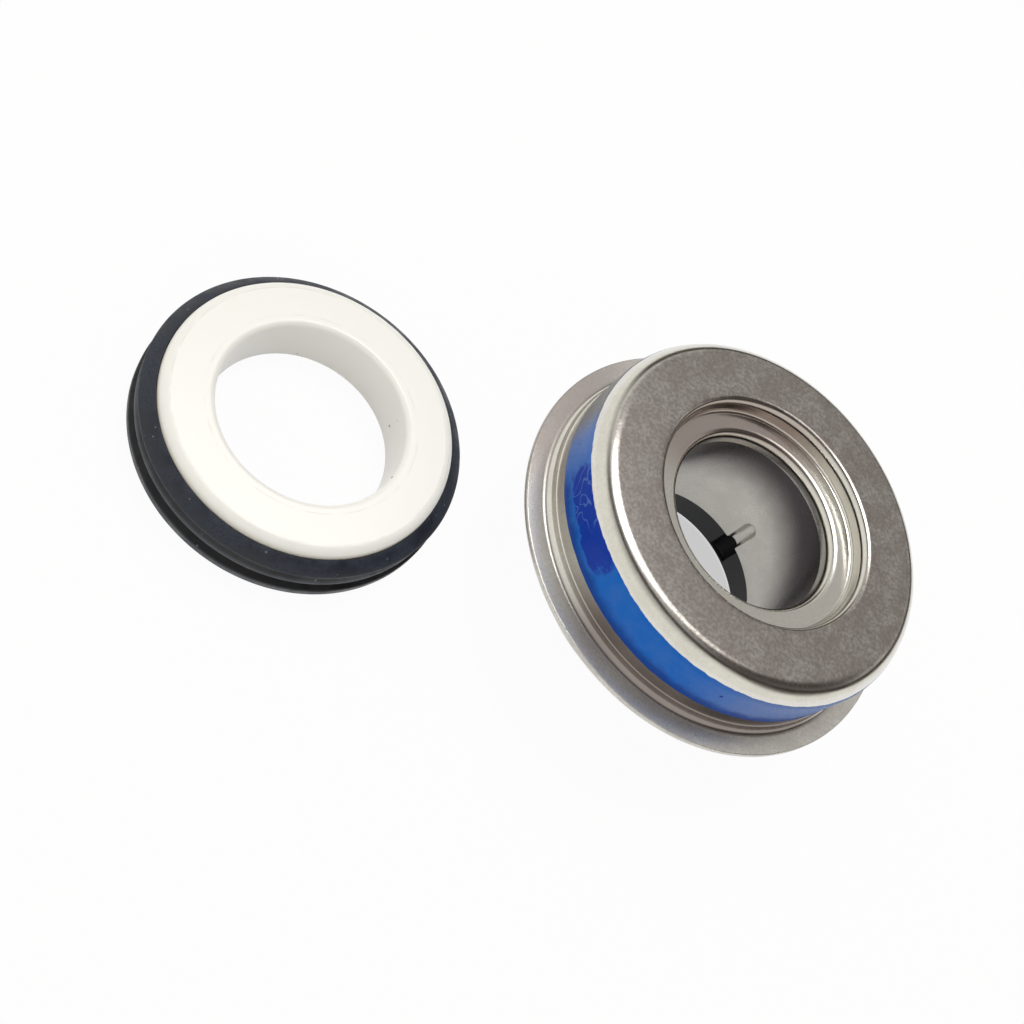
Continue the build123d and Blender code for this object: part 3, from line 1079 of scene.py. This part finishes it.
seatShape = {
    "bore": 9.0,
    "ceramic": 13.9,
    "back": 0.55,
    "top": 6.15,
    "edge": 0.95,
    "boreEdge": 0.28,
    "boreRound": 0.6,       # upper edge of the bore
    "cup": 15.5,
    "opening": 11.0,
    "landTop": 5.2,
    "bevel": 0.9,
    "lip": 15.3,
    "groove": 14.65,
    "ridge": 0.8,
    "ridgePitch": 1.5,
    "lowerRidge": 1.1,
    "round": 0.2,
    "steps": 300,
}


def makeCeramic():
    size = seatShape
    piece = turnRing("ceramicRing", [
        (size["bore"], size["back"], size["boreEdge"]),
        (size["ceramic"], size["back"], 0.05),
        (size["ceramic"], size["top"], size["edge"]),
        (size["bore"], size["top"], size["boreRound"])], seatX, 0, size["steps"])
    dress(piece, whiteOfSeat)
    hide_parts("ceramic_seat")
    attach(piece, "case_set")


def makeCup():
    size = seatShape
    ridge, soft = size["ridge"], size["round"]
    lipBottom = size["landTop"] - size["bevel"] - soft
    upper = lipBottom - size["ridgePitch"]
    lower = size["lowerRidge"]
    valley = (upper + lower) / 2
    piece = turnRing("rubberCup", [
        (size["opening"], 0, 0.08),
        (size["cup"] - ridge, 0, soft),
        (size["cup"], lower - ridge / 2, soft),
        (size["cup"], lower + ridge / 2, soft),
        (size["groove"], valley, soft),
        (size["cup"] - soft, upper, soft),
        (size["groove"], lipBottom - ridge / 2, soft),
        (size["lip"], lipBottom, 0.1),
        (size["lip"], size["landTop"] - size["bevel"], soft),
        (size["ceramic"] + 0.06, size["landTop"], 0.06),
        (size["ceramic"] + 0.005, size["landTop"] - 0.25, 0),
        (size["ceramic"] + 0.005, size["back"] - 0.005, 0),
        (size["opening"], size["back"] - 0.005, 0.06)], seatX, 0, size["steps"], weighted=False)
    dress(piece, rubberOfCup)
    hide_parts("seat_cup")
    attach(piece, "case_set")


print("seat")
makeCeramic()
makeCup()


stageLook = {
    "floor": 0.74,                       # colour of the floor itself
    "floorSize": 1.6,
    "boreRadii": (10.0, 10.9),
    "floorWhite": 0.955,                 # how far it shows as plain white
    "boreWhite": 0.55,                   # the same, in the shade under the head's bore
    "low": (0.92, 0.905, 0.85),          # pale surroundings near the horizon
    "high": (0.46, 0.45, 0.43),
    "back": (0.47, 0.455, 0.435),        # what the flat face mirrors
    "dark": (0.042, 0.029, 0.026),       # dark ceiling between them
    "backAim": (50, 42),                 # azimuth and elevation, in degrees
    "ringAim": (47, 55),
    "ringAngle": 50,
    "ringWidth": 12,
    "softSide": ((137, 20), 20, 42, 0.3, 1.0),      # where the ring is weaker, and how it fades
    "darkAim": (342, 47),
    "darkReach": (34, 18, 0.0, 0.9),
    "highFrom": (0.6, 0.95),             # upward part of the direction
    "backReach": (48, 14),
    "glow": (2.4, 2.36, 2.25),           # the soft lights overhead, as two round patches
    "glowPatches": ((85, 70, 16), (38, 66, 9)),      # azimuth, elevation and radius of each
    "keyAim": (85, 70),
    "keyDistance": 0.45,
    "keySize": 0.17,
    "keyPower": 0.78,
}


def aim(azimuth, elevation):
    azimuth, elevation = math.radians(azimuth), math.radians(elevation)
    return Vector((math.cos(azimuth) * math.cos(elevation), math.sin(azimuth) * math.cos(elevation),
                   math.sin(elevation)))


def makeFloor():
    deselectAll()
    bpy.ops.mesh.primitive_plane_add(size=stageLook["floorSize"], location=(0, 0, 0))
    floor = bpy.context.object
    floor.name = "table"
    material = bpy.data.materials.new("tableTop")
    material.use_nodes = True
    tree = material.node_tree
    shader = tree.nodes["Principled BSDF"]
    shader.inputs["Base Color"].default_value = (*[stageLook["floor"]] * 3, 1)
    shader.inputs["Roughness"].default_value = 0.7
    glow = tree.nodes.new("ShaderNodeEmission")
    glow.inputs["Strength"].default_value = 1.0
    path = tree.nodes.new("ShaderNodeLightPath")
    seen = mathNode(tree, "MAXIMUM", path.outputs["Is Camera Ray"], mathNode(
        tree, "MAXIMUM", path.outputs["Is Glossy Ray"], path.outputs["Is Transmission Ray"]))
    where = tree.nodes.new("ShaderNodeGroup")
    where.node_tree = ringPlace
    where.inputs["Centre X"].default_value = headX
    white = rangeNode(tree, where.outputs["Radius"], *stageLook["boreRadii"],
                      stageLook["boreWhite"], stageLook["floorWhite"])
    mix = tree.nodes.new("ShaderNodeMixShader")
    tree.links.new(product(tree, seen, white), mix.inputs[0])
    tree.links.new(shader.outputs[0], mix.inputs[1])
    tree.links.new(glow.outputs[0], mix.inputs[2])
    tree.links.new(mix.outputs[0], tree.nodes["Material Output"].inputs["Surface"])
    floor.data.materials.append(material)


def angleFrom(tree, direction, place):
    # degrees between the direction that is looked at and a place on the sky
    node = tree.nodes.new("ShaderNodeVectorMath")
    node.operation = "DOT_PRODUCT"
    tree.links.new(direction, node.inputs[0])
    node.inputs[1].default_value = aim(*place)
    return mathNode(tree, "DEGREES", mathNode(tree, "ARCCOSINE", node.outputs["Value"]))


def makeWorld():
    look = stageLook
    world = bpy.data.worlds.new("studio")
    bpy.context.scene.world = world
    world.use_nodes = True
    tree = world.node_tree
    background = tree.nodes["Background"]
    coords = tree.nodes.new("ShaderNodeTexCoord")
    direction = coords.outputs["Generated"]
    parts = tree.nodes.new("ShaderNodeSeparateXYZ")
    tree.links.new(direction, parts.inputs[0])
    colour = mixColour(tree, rangeNode(tree, parts.outputs["Z"], *look["highFrom"]), look["low"],
                       look["high"])
    back = rangeNode(tree, angleFrom(tree, direction, look["backAim"]), *look["backReach"])
    colour = mixColour(tree, back, colour, look["back"])
    ring = mathNode(tree, "ABSOLUTE", mathNode(
        tree, "SUBTRACT", angleFrom(tree, direction, look["ringAim"]), look["ringAngle"]))
    ring = rangeNode(tree, ring, look["ringWidth"], look["ringWidth"] * 0.3)
    sidePlace, *sideFade = look["softSide"]
    side = rangeNode(tree, angleFrom(tree, direction, sidePlace), *sideFade)
    patch = rangeNode(tree, angleFrom(tree, direction, look["darkAim"]), *look["darkReach"])
    shade = mathNode(tree, "MAXIMUM", product(tree, ring, side), patch)
    colour = mixColour(tree, shade, colour, look["dark"])
    for azimuth, elevation, radius in look["glowPatches"]:
        away = angleFrom(tree, direction, (azimuth, elevation))
        patch = rangeNode(tree, away, radius + 2, radius - 2)
        colour = mixColour(tree, patch, colour, look["glow"])
    path = tree.nodes.new("ShaderNodeLightPath")
    colour = mixColour(tree, path.outputs["Is Camera Ray"], colour, (1, 1, 1))
    tree.links.new(colour, background.inputs["Color"])
    background.inputs["Strength"].default_value = 1.0


def makeLamp(name, direction, distance, size, power):
    # a square lamp that shines at the head
    light = bpy.data.lights.new(name, "AREA")
    light.shape = "SQUARE"
    light.size = size
    light.energy = power
    lamp = bpy.data.objects.new(name, light)
    bpy.context.scene.collection.objects.link(lamp)
    lamp.location = Vector((headX * mm, 0, flangeZ * mm)) + aim(*direction) * distance
    lamp.rotation_euler = (-aim(*direction)).to_track_quat("-Z", "Y").to_euler()


cameraView = {
    "place": (-0.04217, -0.06410, 0.10235),
    "tilt": (26.5878, -27.5723, 9.8891),
    "lens": 45.18,
    "sensor": 36.0,
}


def makeCamera():
    view = bpy.data.cameras.new("mainCamera")
    view.lens = cameraView["lens"]
    view.sensor_width = cameraView["sensor"]
    view.clip_start = 0.001
    camera = bpy.data.objects.new("mainCamera", view)
    bpy.context.scene.collection.objects.link(camera)
    camera.location = cameraView["place"]
    camera.rotation_euler = [math.radians(angle) for angle in cameraView["tilt"]]
    bpy.context.scene.camera = camera


print("stage")
makeFloor()
makeWorld()
makeLamp("keyLight", stageLook["keyAim"], stageLook["keyDistance"], stageLook["keySize"],
         stageLook["keyPower"])
makeCamera()
bpy.context.scene.view_settings.view_transform = "Standard"
